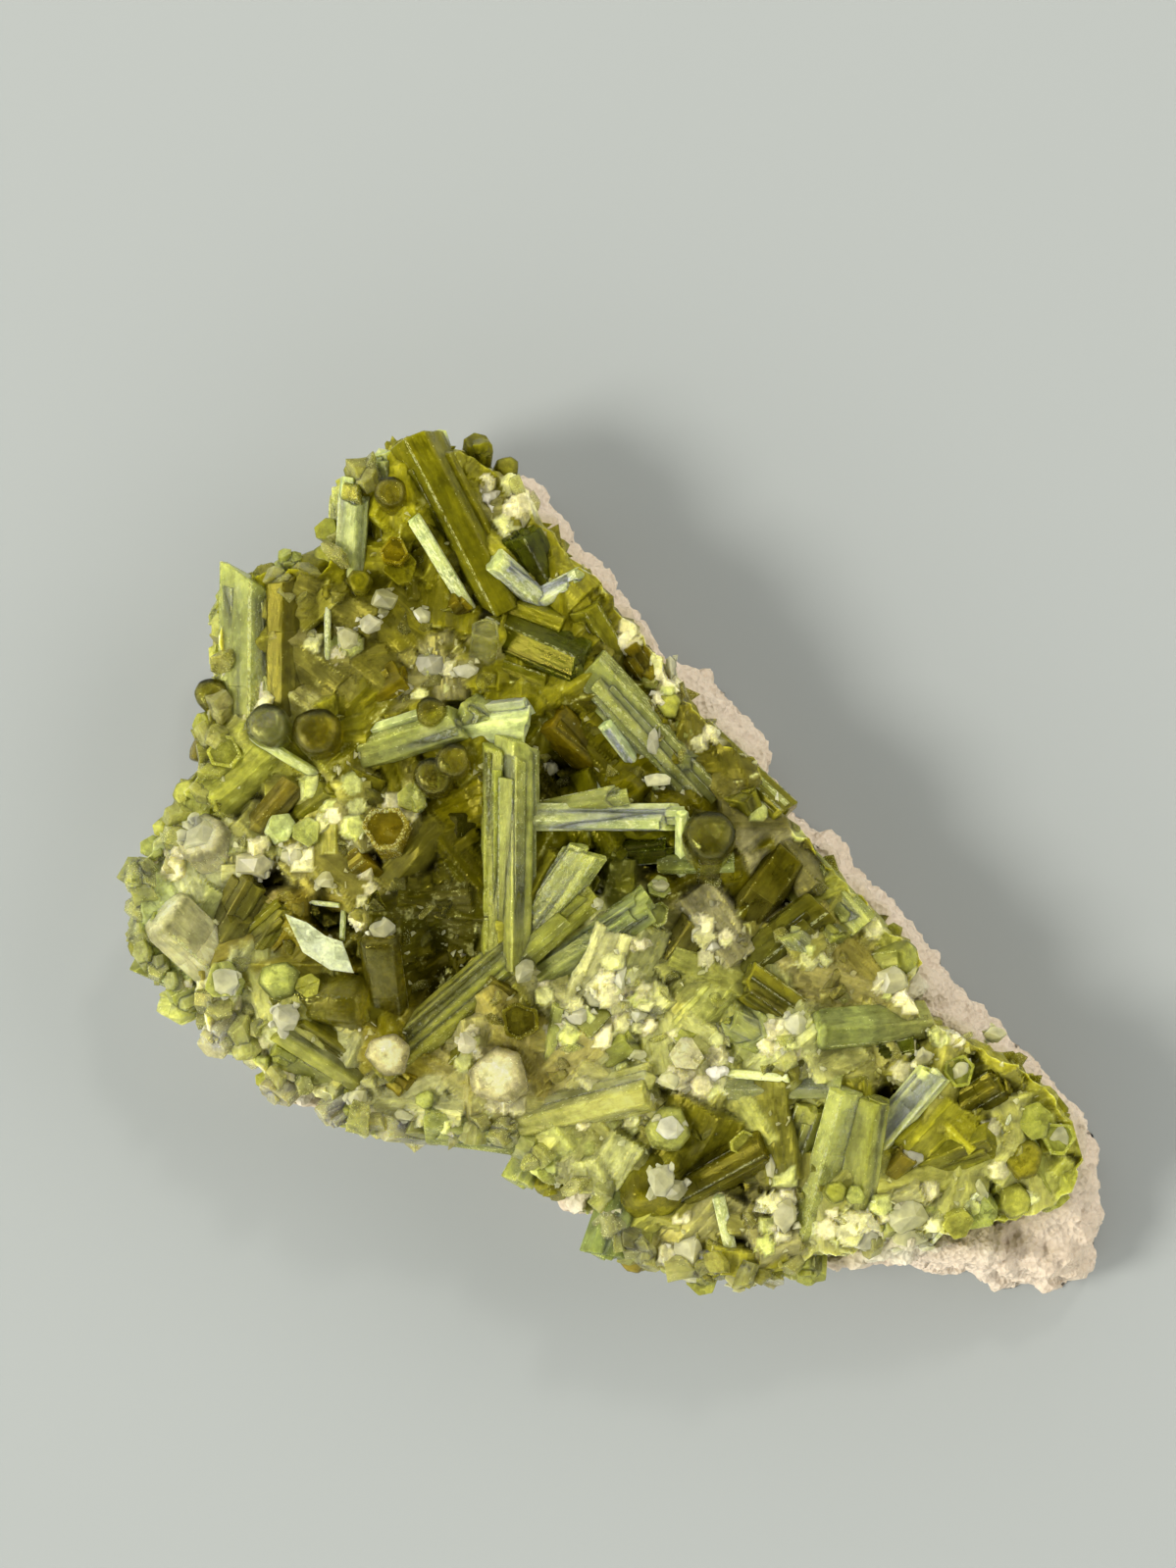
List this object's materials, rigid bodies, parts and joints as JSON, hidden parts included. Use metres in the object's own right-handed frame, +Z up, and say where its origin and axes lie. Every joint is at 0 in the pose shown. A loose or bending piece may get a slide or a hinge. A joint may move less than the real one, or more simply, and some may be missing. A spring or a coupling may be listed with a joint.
{
  "type": "green tourmaline in quartz",
  "caption": "Wedge-shaped hand specimen: intergrown green tourmaline prisms on a slab of pale quartz matrix, cut flat underneath.",
  "frame": {"origin": "on the flat cut base, under the middle of the specimen's box", "axes": "+Z up from the cut base through the crystals; +X to the right and +Y to the top of the crystal face as it is shown, so the rounded end of the matrix lies at +X -Y"},
  "size_m": [0.0506, 0.0452, 0.0116],
  "materials": {
    "quartz": "sugary, rough, pale pinkish white",
    "tourmaline": "vitreous, striated, see-through olive green with frosted faces"
  },
  "bodies": {
    "root": {"quartz_matrix": "quartz", "tourmaline_crystals": "tourmaline"}
  },
  "joints": []
}
